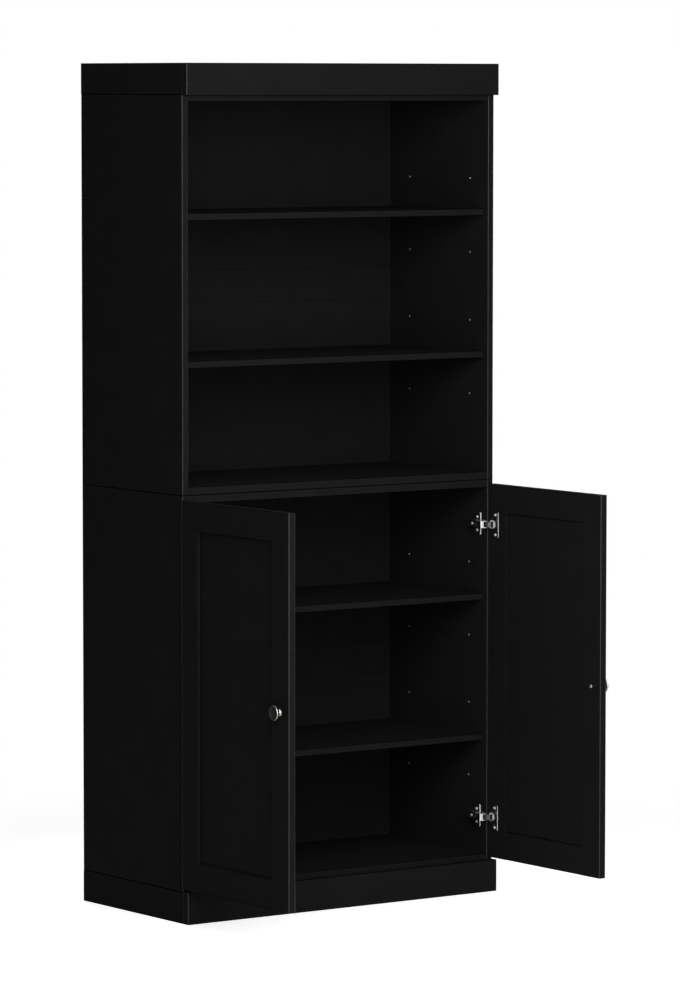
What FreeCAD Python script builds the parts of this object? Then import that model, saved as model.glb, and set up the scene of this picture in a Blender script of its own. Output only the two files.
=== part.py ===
"""Bookcase with cabinet doors: an open bookcase carcass on a two-door cabinet, with a cap and a plinth.

Units are millimetres. X is the width, -Y is the front and +Z is up. The origin is on the floor, at the
centre of the plinth's footprint. The doors are modelled standing open, square to the front.
"""
import FreeCAD, Part
import os
from math import sqrt

V = FreeCAD.Vector
X_AXIS = V(1, 0, 0)
Y_AXIS = V(0, 1, 0)
Z_AXIS = V(0, 0, 1)
OUT = "parts"

# ---- Case -------------------------------------------------------------------------------------------
width = 900.0                   # across both side panels
carcass_depth = 430.0           # front edge to rear edge of a side panel
carcass_height = 926.0          # of each of the two carcasses
plinth_height = 75.0
cap_height = 73.0
side_thickness = 16.0
end_thickness = 16.0            # cabinet bottom panel and bookcase top panel
deck_thickness = 19.0           # the two panels that meet between the carcasses
edge_ease = 0.8                 # chamfer along the edges of every board

# ---- Plinth and cap boards --------------------------------------------------------------------------
frame_board_thickness = 16.0    # side and rear boards of the plinth and of the cap
front_board_lap = 2.0           # how far the plinth front and the fascia lap over the carcass edge
cap_lid_thickness = 16.0
wall_hole_radius = 2.75         # two holes in the cap's rear board, for screws into a wall
wall_hole_spacing = 600.0
bearer_thickness = 16.0
corner_block_size = 40.0

# ---- Back -------------------------------------------------------------------------------------------
back_thickness = 16.0
back_recess = 14.0              # from the rear edges of the sides to the rear face of the back
back_rail_height = 80.0

# ---- Shelves and their pins -------------------------------------------------------------------------
shelf_thickness = 16.0
shelf_setback = 18.5            # front edge of a shelf behind the front edge of the sides
shelf_end_clearance = 1.0
shelf_back_clearance = 1.0
pin_hole_radius = 2.5
pin_hole_depth = 10.0
pin_radius = 2.45
pin_length_out = 9.0
pin_end_clearance = 0.5         # between a pin's end and the bottom of its hole
notch_clearance = 0.1           # round a pin in the groove under a shelf
front_pin_inset = 72.0          # from the front edge of a side to the front row of holes
rear_pin_inset = 318.0
pin_pitch = 89.0                # within a group of three holes
pin_group_gap = 164.0           # between the two groups of three

# ---- Doors ------------------------------------------------------------------------------------------
door_thickness = 18.0
door_back_gap = 2.0             # between a closed door and the front edges of the carcass
door_side_lap = 1.5             # how far a closed door laps over the side panel's edge
door_end_lap = 8.25             # how far it laps over the top and bottom panels' edges
door_centre_gap = 3.0
door_frame_width = 69.0         # stiles and rails
door_edge_ease = 1.0
door_moulding = 2.0             # chamfer along the inner arris of the frame's outer face
panel_recess_outside = 7.0
panel_thickness = 8.0
groove_depth = 8.0              # for the panel and the rail's tongues
panel_edge_clearance = 1.0

# ---- Hinge axis -------------------------------------------------------------------------------------
hinge_axis_outboard = 1.5       # from the closed door's outer edge towards the outside
hinge_axis_forward = 1.5        # in front of the carcass's front edges
door_rest_angle = 90.0          # how far the doors stand open in this model
hinge_end_distance = 98.0       # from a hinge's centre to the door's end

# ---- Hinge cup, on the door -------------------------------------------------------------------------
cup_radius = 17.4
cup_bore_clearance = 0.1
cup_edge_distance = 3.1         # from the door's edge to the cup
cup_depth = 11.8
cup_bore_depth = 12.0
cup_wall = 1.1
cup_floor = 0.8
flange_thickness = 1.5
flange_height = 64.0
flange_near = 8.0               # from the cup's centre towards the door's edge
flange_far = 16.5               # from the cup's centre away from the door's edge
flange_corner = 5.0
cup_screw_pitch = 48.0
cup_screw_offset = 5.0          # from the cup's centre, away from the door's edge

# ---- Hinge link, a curved leaf that turns about the hinge axis between the arm and the cup ----------
link_inner_radius = 13.0
link_thickness = 2.0
link_width = 13.0
link_gap = 0.3                  # running clearance beside and outside the link
link_ratio = 0.7                # the link's turn per degree of the door's
link_tip_closed = 46.0          # the link's end in the cup, below the axis, with the door closed
link_heel_closed = 62.0         # its end in the arm, above the axis, with the door closed
guide_thickness = 2.0           # curved guide in the cup, outside the link
guide_from = 3.0                # the guide's span below the axis, with the door closed
guide_to = 42.0

# ---- Hinge arm and mounting plate, on the side panel ------------------------------------------------
arm_sheet = 1.5
arm_rear = 62.0                 # from the carcass's front edge
arm_nose = 4.6                  # how far the nose stands in front of that edge
arm_nose_lift = 5.4             # from the side panel to the underside of the nose
arm_nose_height = 23.0          # from the side panel to the top of the nose
arm_rear_height = 13.0
arm_slope_front = 24.0          # where the top slopes from the nose's height to the rear's
arm_slope_rear = 34.0
arm_cheek_front = 3.0
arm_guide_clearance = 0.4       # between the nose's front wall and the closed cup's guide
plate_thickness = 3.0
plate_half_width = 9.0
plate_front = 14.0
plate_rear = 60.0
wing_height = 54.0
wing_front = 24.0
wing_depth = 26.0
wing_corner = 4.0
wing_screw_pitch = 32.0
adjuster_front = 18.0           # the two screws on the arm, from the carcass's front edge
adjuster_rear = 44.0

# ---- Screws -----------------------------------------------------------------------------------------
wood_screw_radius = 1.7
wood_screw_head_radius = 3.5
wood_screw_head_height = 1.6
wood_screw_bite = 11.0          # length in the wood
adjuster_radius = 2.0
adjuster_head_radius = 3.6
adjuster_head_height = 1.2
head_rounding = 0.45            # rounding of a head's rim, as a share of its height
recess_width = 0.8              # cross recess in every screw head
recess_depth = 0.7
recess_reach = 0.62             # each bar's half length, as a share of the head's radius
deck_screw_radius = 2.25
deck_screw_head_radius = 4.5
deck_screw_bite = 13.0          # in the bookcase's bottom panel
deck_screw_x = 300.0
deck_screw_y = 120.0

# ---- Cam fittings and dowels ------------------------------------------------------------------------
cam_radius = 7.5
cam_height = 12.5
cam_edge_distance = 34.0        # from a panel's end to the cam's centre
cam_inset = 55.0                # from a panel's front or rear edge
cam_bolt_radius = 2.5
cam_bolt_head_radius = 3.4
cam_bolt_head_length = 5.0
cam_bolt_tip_inset = 1.0        # from the cam's centre to the bolt's tip
cam_bolt_bite = 10.0            # in the side panel
cam_pocket_radius = 4.0
cam_bore_radius = 3.6           # along the panel, from its end to the cam
dowel_radius = 4.0
dowel_bite = 12.0               # in the side panel
dowel_length = 30.0

# ---- Knob -------------------------------------------------------------------------------------------
knob_radius = 18.0
knob_height = 22.0
knob_base_radius = 9.0
knob_base_edge = 1.8            # height of the base's straight edge
knob_neck_radius = 5.7
knob_neck_start = 6.5           # the straight neck's span, from the door's face
knob_neck_end = 11.5
knob_disc_back = 16.0           # where the flare meets the disc's rim
knob_lip = 21.3                 # front of the disc's lip, from the door's face
knob_lip_round = 1.8
knob_dish_radius = 14.8         # the shallow groove inside the lip
knob_dish_depth = 1.1
knob_edge_distance = 34.5       # from the door's free edge
knob_screw_radius = 2.0
knob_screw_bite = 9.0           # in the knob
knob_screw_clearance = 0.2
knob_screw_head_radius = 4.2
knob_screw_head_height = 2.2

# ---- Places worked out from the sizes above ---------------------------------------------------------
half_width = width / 2
side_inner = half_width - side_thickness
front_board_thickness = door_thickness + door_back_gap
total_depth = carcass_depth + front_board_thickness
face_y = -total_depth / 2                       # front of the plinth, the fascia and the closed doors
front_y = face_y + front_board_thickness        # front edges of the carcasses
rear_y = front_y + carcass_depth
back_rear_y = rear_y - back_recess
back_front_y = back_rear_y - back_thickness

cabinet_z = plinth_height
split_z = cabinet_z + carcass_height
cap_z = split_z + carcass_height
top_z = cap_z + cap_height
cabinet_floor = cabinet_z + end_thickness
cabinet_ceiling = split_z - deck_thickness
bookcase_floor = split_z + deck_thickness
bookcase_ceiling = cap_z - end_thickness

door_outer_x = side_inner + door_side_lap
door_inner_x = door_centre_gap / 2
door_face_y = front_y - door_back_gap - door_thickness
door_back_y = front_y - door_back_gap
door_bottom = cabinet_floor - door_end_lap
door_top = cabinet_ceiling + door_end_lap
door_middle = (door_bottom + door_top) / 2
axis_x = door_outer_x + hinge_axis_outboard
axis_y = front_y - hinge_axis_forward
panel_face_y = door_face_y + panel_recess_outside
panel_back_y = panel_face_y + panel_thickness
cup_x = door_outer_x - cup_edge_distance - cup_radius
hinge_heights = (door_bottom + hinge_end_distance, door_top - hinge_end_distance)

link_outer_radius = link_inner_radius + link_thickness
guide_radius = link_outer_radius + link_gap
cheek_inner = link_width / 2 + link_gap
cheek_outer = cheek_inner + arm_sheet
nose_wall_lift = guide_radius + guide_thickness + arm_guide_clearance - (axis_x - side_inner)


def block(x0, x1, y0, y1, z0, z1):
    """Box between two corners."""
    return Part.makeBox(x1 - x0, y1 - y0, z1 - z0, V(x0, y0, z0))


def mirrored(shape):
    """The same piece on the other side of the centre plane."""
    return shape.mirror(V(0, 0, 0), X_AXIS)


def opened(shape):
    """A piece of the right door, turned from closed to its rest angle."""
    turned = shape.copy()
    turned.rotate(V(axis_x, axis_y, 0), Z_AXIS, door_rest_angle)
    return turned


def edges_along(shape, direction, keep=lambda point: True):
    """Straight edges parallel to a direction whose middle passes a test."""
    found = []
    for edge in shape.Edges:
        run = edge.Vertexes[-1].Point.sub(edge.Vertexes[0].Point)
        if run.Length > 0 and run.cross(direction).Length < 1e-6 * run.Length:
            if keep(edge.CenterOfMass):
                found.append(edge)
    return found


def eased(shape, *directions, size=None, keep=lambda point: True):
    """A board with the edges along the given directions chamfered."""
    edges = []
    for direction in directions:
        edges += edges_along(shape, direction, keep)
    return shape.makeChamfer(edge_ease if size is None else size, edges)


def sector(inner, outer, start, end, z0, z1):
    """Curved leaf about the hinge axis, between two angles counted from +X."""
    centre = V(axis_x, axis_y, z0)
    leaf = Part.makeCylinder(outer, z1 - z0, centre, Z_AXIS, end - start)
    leaf = leaf.cut(Part.makeCylinder(inner, z1 - z0, centre, Z_AXIS))
    leaf.rotate(centre, Z_AXIS, start)
    return leaf


def rounded_plate(y0, y1, z0, z1, x0, x1, corner):
    """Flat plate across X with rounded corners."""
    plate = block(x0, x1, y0, y1, z0, z1)
    return plate.makeFillet(corner, edges_along(plate, X_AXIS))


def cross_recess(tip, direction, radius):
    """Cross cut in a screw head whose top is at tip; direction points out of the head."""
    helper = Y_AXIS if abs(direction.dot(Y_AXIS)) < 0.5 else X_AXIS
    across = direction.cross(helper)
    reach = radius * recess_reach
    bars = []
    for half_a, half_b in ((reach, recess_width / 2), (recess_width / 2, reach)):
        half = across * half_a + helper * half_b + direction * recess_depth
        low = tip - half
        high = tip + half
        bars.append(block(min(low.x, high.x), max(low.x, high.x), min(low.y, high.y), max(low.y, high.y),
                          min(low.z, high.z), max(low.z, high.z)))
    return bars[0].fuse(bars[1])


def screw(seat, direction, head_radius, head_height, shank_radius, shank_length):
    """Pan-head screw: seat is under the head, direction points out of the head."""
    head = Part.makeCylinder(head_radius, head_height, seat, direction)
    rim = [edge for edge in head.Edges if edge.Closed and
           abs((edge.CenterOfMass - seat).dot(direction) - head_height) < 1e-6]
    head = head.makeFillet(min(head_height, head_radius) * head_rounding, rim)
    shank = Part.makeCylinder(shank_radius, shank_length, seat, direction * -1)
    return head.fuse(shank).cut(cross_recess(seat + direction * head_height, direction, head_radius))


# ---- Places of repeated fittings --------------------------------------------------------------------
def pin_rows(floor, ceiling):
    """Heights of the six rows of shelf holes in one carcass, from the lowest up."""
    middle = (floor + ceiling) / 2
    offsets = [pin_group_gap / 2 + step * pin_pitch for step in range(3)]
    return [middle - offset for offset in reversed(offsets)] + [middle + offset for offset in offsets]


def shelf_rows(floor, ceiling):
    """The middle row of each group of three, where a shelf hangs."""
    rows = pin_rows(floor, ceiling)
    return rows[1], rows[4]


def pin_columns():
    """Front-to-back places of the two columns of shelf holes."""
    return front_y + front_pin_inset, front_y + rear_pin_inset


def cam_places():
    """Front-to-back places of the two cam fittings at each end of a fixed panel."""
    return front_y + cam_inset, rear_y - cam_inset


def cam_centre_height(z0, z1, cam_on_top):
    """Mid height of a cam that is let into the top or the bottom of a panel."""
    return z1 - cam_height / 2 if cam_on_top else z0 + cam_height / 2


# ---- Boards of the plinth and the cap ---------------------------------------------------------------
def frame_boards(prefix, z0, z1, front_z0, front_z1, rear_z1):
    """Front, side and rear boards of the plinth or the cap."""
    front = block(-half_width, half_width, face_y, front_y, front_z0, front_z1)
    front = eased(front, X_AXIS, Y_AXIS, Z_AXIS)
    side = eased(block(half_width - frame_board_thickness, half_width, front_y, rear_y, z0, z1), Y_AXIS)
    inner = half_width - frame_board_thickness
    rear = eased(block(-inner, inner, rear_y - frame_board_thickness, rear_y, z0, rear_z1), X_AXIS)
    front_name = "cap_fascia" if prefix == "cap" else prefix + "_front_board"
    return {front_name: front, prefix + "_right_board": side, prefix + "_left_board": mirrored(side),
            prefix + "_rear_board": rear}


def corner_blocks(z0, z1):
    """Four three-cornered glue blocks inside a frame of boards."""
    x1 = half_width - frame_board_thickness
    y0 = front_y
    y1 = rear_y - frame_board_thickness
    blocks = []
    for x, y, dx, dy in ((x1, y0, -1, 1), (x1, y1, -1, -1), (-x1, y0, 1, 1), (-x1, y1, 1, -1)):
        corner = V(x, y, z0)
        points = [corner, corner + V(dx * corner_block_size, 0, 0), corner + V(0, dy * corner_block_size, 0)]
        face = Part.Face(Part.makePolygon(points + [corner]))
        blocks.append(face.extrude(V(0, 0, z1 - z0)))
    return Part.makeCompound(blocks)


def plinth():
    """Plinth boards, the bearer under the cabinet and the glue blocks."""
    parts = frame_boards("plinth", 0, plinth_height, 0, plinth_height + front_board_lap, plinth_height)
    parts["plinth_centre_bearer"] = eased(
        block(-bearer_thickness / 2, bearer_thickness / 2, front_y, rear_y - frame_board_thickness,
              0, plinth_height), Y_AXIS)
    parts["plinth_corner_blocks"] = corner_blocks(plinth_height - corner_block_size, plinth_height)
    return parts


def cap():
    """Fascia, side and rear boards of the cap, its lid and the glue blocks."""
    lid_z = top_z - cap_lid_thickness
    parts = frame_boards("cap", cap_z, top_z, cap_z - front_board_lap, top_z, lid_z)
    inner = half_width - frame_board_thickness
    holes = [Part.makeCylinder(wall_hole_radius, frame_board_thickness, V(x, rear_y, (cap_z + lid_z) / 2),
                               Y_AXIS * -1) for x in (-wall_hole_spacing / 2, wall_hole_spacing / 2)]
    parts["cap_rear_board"] = parts["cap_rear_board"].cut(Part.makeCompound(holes))
    parts["cap_lid"] = eased(block(-inner, inner, front_y, rear_y, lid_z, top_z), X_AXIS)
    parts["cap_corner_blocks"] = corner_blocks(cap_z, cap_z + corner_block_size)
    return parts


# ---- Carcasses --------------------------------------------------------------------------------------
def cam_bore(z0, z1, y, cam_on_top):
    """Pocket for a cam and the bore for its bolt, at the right end of a panel."""
    pocket_z = z1 - cam_height if cam_on_top else z0
    centre_z = cam_centre_height(z0, z1, cam_on_top)
    pocket = Part.makeCylinder(cam_radius, cam_height, V(side_inner - cam_edge_distance, y, pocket_z))
    bore = Part.makeCylinder(cam_bore_radius, cam_edge_distance, V(side_inner, y, centre_z), X_AXIS * -1)
    return pocket.fuse(bore)


def fixed_panel(z0, z1, cam_on_top):
    """Horizontal panel between the sides, with its cam pockets and dowel holes."""
    panel = eased(block(-side_inner, side_inner, front_y, rear_y, z0, z1), X_AXIS)
    cuts = []
    for y in cam_places():
        bore = cam_bore(z0, z1, y, cam_on_top)
        cuts += [bore, mirrored(bore)]
    depth = dowel_length - dowel_bite
    hole = Part.makeCylinder(dowel_radius, depth, V(side_inner, 0, (z0 + z1) / 2), X_AXIS * -1)
    return panel.cut(Part.makeCompound(cuts + [hole, mirrored(hole)]))


def side_panel(z0, floor, ceiling, z1, cams_bottom, cams_top):
    """Right side panel with its shelf holes, bolt holes and dowel holes."""
    panel = eased(block(side_inner, half_width, front_y, rear_y, z0, z1), X_AXIS, Y_AXIS, Z_AXIS)
    cuts = []
    for row in pin_rows(floor, ceiling):
        for column in pin_columns():
            mouth = V(side_inner, column, row)
            cuts.append(Part.makeCylinder(pin_hole_radius, pin_hole_depth, mouth, X_AXIS))
    for height in (cams_bottom, cams_top):
        for y in cam_places():
            cuts.append(Part.makeCylinder(cam_bolt_radius, cam_bolt_bite, V(side_inner, y, height), X_AXIS))
    for height in ((z0 + floor) / 2, (ceiling + z1) / 2):
        cuts.append(Part.makeCylinder(dowel_radius, dowel_bite, V(side_inner, 0, height), X_AXIS))
    return panel.cut(Part.makeCompound(cuts))


def back_boards(prefix, floor, ceiling):
    """Lower board, middle rail and upper board of a carcass's back."""
    middle = (floor + ceiling) / 2
    rail_low = middle - back_rail_height / 2
    rail_high = middle + back_rail_height / 2
    levels = {"_back_lower_board": (floor, rail_low), "_back_rail": (rail_low, rail_high),
              "_back_upper_board": (rail_high, ceiling)}
    boards = {}
    for name, (z0, z1) in levels.items():
        board = block(-side_inner, side_inner, back_front_y, back_rear_y, z0, z1)
        boards[prefix + name] = eased(board, X_AXIS)
    return boards


def shelf(row):
    """Loose shelf whose underside rests on the pins of one row, in half-round grooves."""
    end = side_inner - shelf_end_clearance
    board = block(-end, end, front_y + shelf_setback, back_front_y - shelf_back_clearance,
                  row, row + shelf_thickness)
    board = eased(board, X_AXIS, Y_AXIS)
    grooves = []
    for column in pin_columns():
        groove = Part.makeCylinder(pin_radius + notch_clearance, pin_length_out + notch_clearance,
                                   V(side_inner, column, row), X_AXIS * -1)
        grooves += [groove, mirrored(groove)]
    return board.cut(Part.makeCompound(grooves))


def shelf_pins(floor, ceiling):
    """Eight steel pins, four under each shelf."""
    pins = []
    start = side_inner + pin_hole_depth - pin_end_clearance
    for row in shelf_rows(floor, ceiling):
        for column in pin_columns():
            length = pin_length_out + pin_hole_depth - pin_end_clearance
            pin = Part.makeCylinder(pin_radius, length, V(start, column, row), X_AXIS * -1)
            pin = pin.makeChamfer(pin_radius * 0.2, [edge for edge in pin.Edges if edge.Closed])
            pins += [pin, mirrored(pin)]
    return Part.makeCompound(pins)


def cam_fitting(z0, z1, y, cam_on_top):
    """One cam and its bolt at the right end of a panel."""
    centre_z = cam_centre_height(z0, z1, cam_on_top)
    cam_x = side_inner - cam_edge_distance
    cam_z = z1 - cam_height if cam_on_top else z0
    cam = Part.makeCylinder(cam_radius, cam_height, V(cam_x, y, cam_z))
    cam = cam.cut(Part.makeCylinder(cam_pocket_radius, cam_radius, V(cam_x, y, centre_z), X_AXIS))
    slot_z = z1 if cam_on_top else z0
    cam = cam.cut(cross_recess(V(cam_x, y, slot_z), Z_AXIS if cam_on_top else Z_AXIS * -1, cam_radius))
    tip_x = cam_x + cam_bolt_tip_inset
    head_length = cam_bolt_head_length
    bolt = Part.makeCylinder(cam_bolt_head_radius, head_length, V(tip_x, y, centre_z), X_AXIS)
    shank_length = side_inner + cam_bolt_bite - tip_x - head_length
    shank_start = V(tip_x + head_length, y, centre_z)
    bolt = bolt.fuse(Part.makeCylinder(cam_bolt_radius, shank_length, shank_start, X_AXIS))
    return [cam, bolt]


def cam_fittings(panels):
    """Cams and bolts of one carcass; panels gives each fixed panel's levels and the cam's side."""
    solids = []
    for z0, z1, cam_on_top in panels:
        for y in cam_places():
            pieces = cam_fitting(z0, z1, y, cam_on_top)
            solids += pieces + [mirrored(piece) for piece in pieces]
    return Part.makeCompound(solids)


def dowels(heights):
    """One dowel at each end of every fixed panel."""
    solids = []
    for height in heights:
        start = V(side_inner + dowel_bite, 0, height)
        dowel = Part.makeCylinder(dowel_radius, dowel_length, start, X_AXIS * -1)
        dowel = dowel.makeChamfer(dowel_radius * 0.2, [edge for edge in dowel.Edges if edge.Closed])
        solids += [dowel, mirrored(dowel)]
    return Part.makeCompound(solids)


def carcass(prefix, z0, floor, ceiling, z1):
    """Sides, fixed panels, back, shelves and fittings of one carcass."""
    bottom = (z0, floor, False)
    top = (ceiling, z1, True)
    right = side_panel(z0, floor, ceiling, z1, cam_centre_height(*bottom), cam_centre_height(*top))
    parts = {prefix + "_bottom_panel": fixed_panel(*bottom), prefix + "_top_panel": fixed_panel(*top)}
    parts.update(back_boards(prefix, floor, ceiling))
    low_row, high_row = shelf_rows(floor, ceiling)
    parts[prefix + "_lower_shelf"] = shelf(low_row)
    parts[prefix + "_upper_shelf"] = shelf(high_row)
    parts[prefix + "_shelf_pins"] = shelf_pins(floor, ceiling)
    parts[prefix + "_cam_fittings"] = cam_fittings((bottom, top))
    parts[prefix + "_right_side"] = right
    parts[prefix + "_left_side"] = mirrored(right)
    return parts


def deck_screws():
    """Four screws driven up through the cabinet's top panel into the bookcase's bottom panel."""
    screws = []
    for x in (-deck_screw_x, deck_screw_x):
        for y in (-deck_screw_y, deck_screw_y):
            seat = V(x, y, cabinet_ceiling)
            screws.append(screw(seat, Z_AXIS * -1, deck_screw_head_radius, wood_screw_head_height,
                                deck_screw_radius, deck_thickness + deck_screw_bite))
    return Part.makeCompound(screws)


def deck_screw_holes():
    """Holes for the four deck screws."""
    holes = []
    for x in (-deck_screw_x, deck_screw_x):
        for y in (-deck_screw_y, deck_screw_y):
            holes.append(Part.makeCylinder(deck_screw_radius, deck_thickness + deck_screw_bite,
                                           V(x, y, cabinet_ceiling)))
    return Part.makeCompound(holes)


# ---- Doors, built closed on the right ---------------------------------------------------------------
def door_frame():
    """Stiles, rails and panel of the right door."""
    tongue_y0 = panel_face_y
    tongue_y1 = panel_back_y
    inner_low = door_bottom + door_frame_width
    inner_high = door_top - door_frame_width
    hinge_line = door_outer_x - door_frame_width
    free_line = door_inner_x + door_frame_width

    def stile(x0, x1, groove_x0, groove_x1, arris_x):
        outer_x = x0 if arris_x == x1 else x1
        piece = block(x0, x1, door_face_y, door_back_y, door_bottom, door_top)
        piece = eased(piece, Z_AXIS, size=door_edge_ease, keep=lambda p: abs(p.x - outer_x) < 1e-6)
        piece = eased(piece, Z_AXIS, size=door_moulding,
                      keep=lambda p: abs(p.x - arris_x) < 1e-6 and abs(p.y - door_face_y) < 1e-6)
        piece = eased(piece, Z_AXIS, size=edge_ease,
                      keep=lambda p: abs(p.x - arris_x) < 1e-6 and abs(p.y - door_back_y) < 1e-6)
        return piece.cut(block(groove_x0, groove_x1, tongue_y0, tongue_y1, door_bottom, door_top))

    def rail(z0, z1, groove_z0, groove_z1, arris_z):
        outer_z = z0 if arris_z == z1 else z1
        piece = block(free_line, hinge_line, door_face_y, door_back_y, z0, z1)
        piece = eased(piece, X_AXIS, size=door_edge_ease, keep=lambda p: abs(p.z - outer_z) < 1e-6)
        piece = eased(piece, X_AXIS, size=door_moulding,
                      keep=lambda p: abs(p.z - arris_z) < 1e-6 and abs(p.y - door_face_y) < 1e-6)
        piece = eased(piece, X_AXIS, size=edge_ease,
                      keep=lambda p: abs(p.z - arris_z) < 1e-6 and abs(p.y - door_back_y) < 1e-6)
        tongue_z0 = z0 if arris_z == z1 else z0 + groove_depth
        tongue_z1 = z1 if arris_z == z0 else z1 - groove_depth
        reach_x0 = free_line - groove_depth
        reach_x1 = hinge_line + groove_depth
        tongue = block(reach_x0, reach_x1, tongue_y0, tongue_y1, tongue_z0, tongue_z1)
        groove = block(reach_x0, reach_x1, tongue_y0, tongue_y1, groove_z0, groove_z1)
        return piece.fuse(tongue).cut(groove)

    reach = groove_depth - panel_edge_clearance
    panel = block(free_line - reach, hinge_line + reach, panel_face_y, panel_back_y,
                  inner_low - reach, inner_high + reach)
    hinge_stile = stile(hinge_line, door_outer_x, hinge_line, hinge_line + groove_depth, hinge_line)
    free_stile = stile(door_inner_x, free_line, free_line - groove_depth, free_line, free_line)
    bottom_rail = rail(door_bottom, inner_low, inner_low - groove_depth, inner_low, inner_low)
    top_rail = rail(inner_high, door_top, inner_high, inner_high + groove_depth, inner_high)
    return hinge_stile, free_stile, bottom_rail, top_rail, panel


def cup_screw_seats(height):
    """Where the two cup screws sit on the flange."""
    y = door_back_y + flange_thickness
    x = cup_x - cup_screw_offset
    return [V(x, y, height - cup_screw_pitch / 2), V(x, y, height + cup_screw_pitch / 2)]


def cup_bores():
    """Holes in the hinge stile for both cups and their screws."""
    cuts = []
    for height in hinge_heights:
        cuts.append(Part.makeCylinder(cup_radius + cup_bore_clearance, cup_bore_depth,
                                      V(cup_x, door_back_y, height), Y_AXIS * -1))
        for seat in cup_screw_seats(height):
            length = wood_screw_bite + flange_thickness
            cuts.append(Part.makeCylinder(wood_screw_radius, length, seat, Y_AXIS * -1))
    return Part.makeCompound(cuts)


def hinge_cup(height):
    """Cup, flange and curved guide, on the closed right door."""
    mouth = V(cup_x, door_back_y + flange_thickness, height)
    plate = block(cup_x - flange_far, cup_x + flange_near, door_back_y, door_back_y + flange_thickness,
                  height - flange_height / 2, height + flange_height / 2)
    plate = plate.makeFillet(flange_corner, edges_along(plate, Y_AXIS))
    bowl = Part.makeCylinder(cup_radius, cup_depth + flange_thickness, mouth, Y_AXIS * -1)
    hollow_radius = cup_radius - cup_wall
    hollow = Part.makeCylinder(hollow_radius, cup_depth - cup_floor + flange_thickness, mouth, Y_AXIS * -1)
    guide = sector(guide_radius, guide_radius + guide_thickness, 180 + guide_from, 180 + guide_to,
                   height - link_width / 2, height + link_width / 2)
    within = Part.makeCylinder(cup_radius, cup_depth, V(cup_x, door_back_y, height), Y_AXIS * -1)
    guide = guide.common(within)
    cup = plate.fuse(bowl).cut(hollow).fuse(guide)
    for seat in cup_screw_seats(height):
        cup = cup.cut(Part.makeCylinder(wood_screw_radius, flange_thickness, seat, Y_AXIS * -1))
    return cup


def knob_place():
    """Centre of the knob's base on the closed right door's face."""
    return V(door_inner_x + knob_edge_distance, door_face_y, door_middle)


def knob():
    """Turned knob: base, waisted neck and a lipped disc with a low dome."""
    base = knob_place()

    def at(radius, out):
        return V(base.x + radius, base.y - out, base.z)

    def hollow(start, end, pull):
        """Arc between two profile points, pulled towards the knob's neck."""
        middle = at((start[0] + end[0]) / 2 - pull, (start[1] + end[1]) / 2 + pull)
        return Part.Arc(at(*start), middle, at(*end)).toShape()

    base_edge = (knob_base_radius, knob_base_edge)
    neck_start = (knob_neck_radius, knob_neck_start)
    neck_end = (knob_neck_radius, knob_neck_end)
    rim_back = (knob_radius - knob_lip_round, knob_disc_back)
    rim_front = (knob_radius - knob_lip_round, knob_lip)
    groove = (knob_dish_radius, knob_lip - knob_dish_depth)
    rise = knob_height - groove[1]
    dome_radius = (knob_dish_radius ** 2 + rise ** 2) / (2 * rise)
    dome_out = knob_height - dome_radius + sqrt(dome_radius ** 2 - (knob_dish_radius / 2) ** 2)
    edges = [
        Part.makeLine(at(0, 0), at(knob_base_radius, 0)),
        Part.makeLine(at(knob_base_radius, 0), at(*base_edge)),
        hollow(base_edge, neck_start, (knob_base_radius - knob_neck_radius) / 4),
        Part.makeLine(at(*neck_start), at(*neck_end)),
        hollow(neck_end, rim_back, (knob_neck_end - knob_neck_start) / 6),
        Part.Arc(at(*rim_back), at(knob_radius, (knob_disc_back + knob_lip) / 2), at(*rim_front)).toShape(),
        Part.makeLine(at(*rim_front), at(*groove)),
        Part.Arc(at(*groove), at(knob_dish_radius / 2, dome_out), at(0, knob_height)).toShape(),
        Part.makeLine(at(0, knob_height), at(0, 0)),
    ]
    body = Part.Face(Part.Wire(edges)).revolve(base, Y_AXIS, 360)
    return body.cut(Part.makeCylinder(knob_screw_radius, knob_screw_bite, base, Y_AXIS * -1))


def door_pieces():
    """Every piece of the right door, closed."""
    hinge_stile, free_stile, bottom_rail, top_rail, panel = door_frame()
    base = knob_place()
    seat = V(base.x, door_back_y, base.z)
    free_stile = free_stile.cut(Part.makeCylinder(knob_screw_radius + knob_screw_clearance, door_thickness,
                                                  seat, Y_AXIS * -1))
    screws = [screw(seat, Y_AXIS, knob_screw_head_radius, knob_screw_head_height, knob_screw_radius,
                    door_thickness + knob_screw_bite)]
    for height in hinge_heights:
        for place in cup_screw_seats(height):
            screws.append(screw(place, Y_AXIS, wood_screw_head_radius, wood_screw_head_height,
                                wood_screw_radius, wood_screw_bite + flange_thickness))
    return {
        "door_hinge_stile": hinge_stile.cut(cup_bores()),
        "door_free_stile": free_stile,
        "door_bottom_rail": bottom_rail,
        "door_top_rail": top_rail,
        "door_panel": panel,
        "hinge_cups": Part.makeCompound([hinge_cup(height) for height in hinge_heights]),
        "door_screws": Part.makeCompound(screws),
        "knob": knob(),
    }


# ---- Hinge links, arms and plates, on the right -----------------------------------------------------
def hinge_links():
    """The two curved links, where they stand with the door at its rest angle."""
    turn = link_ratio * door_rest_angle
    start = 180 - link_heel_closed + turn
    end = 180 + link_tip_closed + turn
    leaves = [sector(link_inner_radius, link_outer_radius, start, end, height - link_width / 2,
                     height + link_width / 2) for height in hinge_heights]
    return Part.makeCompound(leaves)


def adjusters(height):
    """Where the two screws sit on the arm, and how far each is above the plate."""
    places = ((adjuster_front, arm_nose_height), (adjuster_rear, arm_rear_height))
    return [(V(side_inner - lift, front_y + inset, height), lift - plate_thickness)
            for inset, lift in places]


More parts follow.
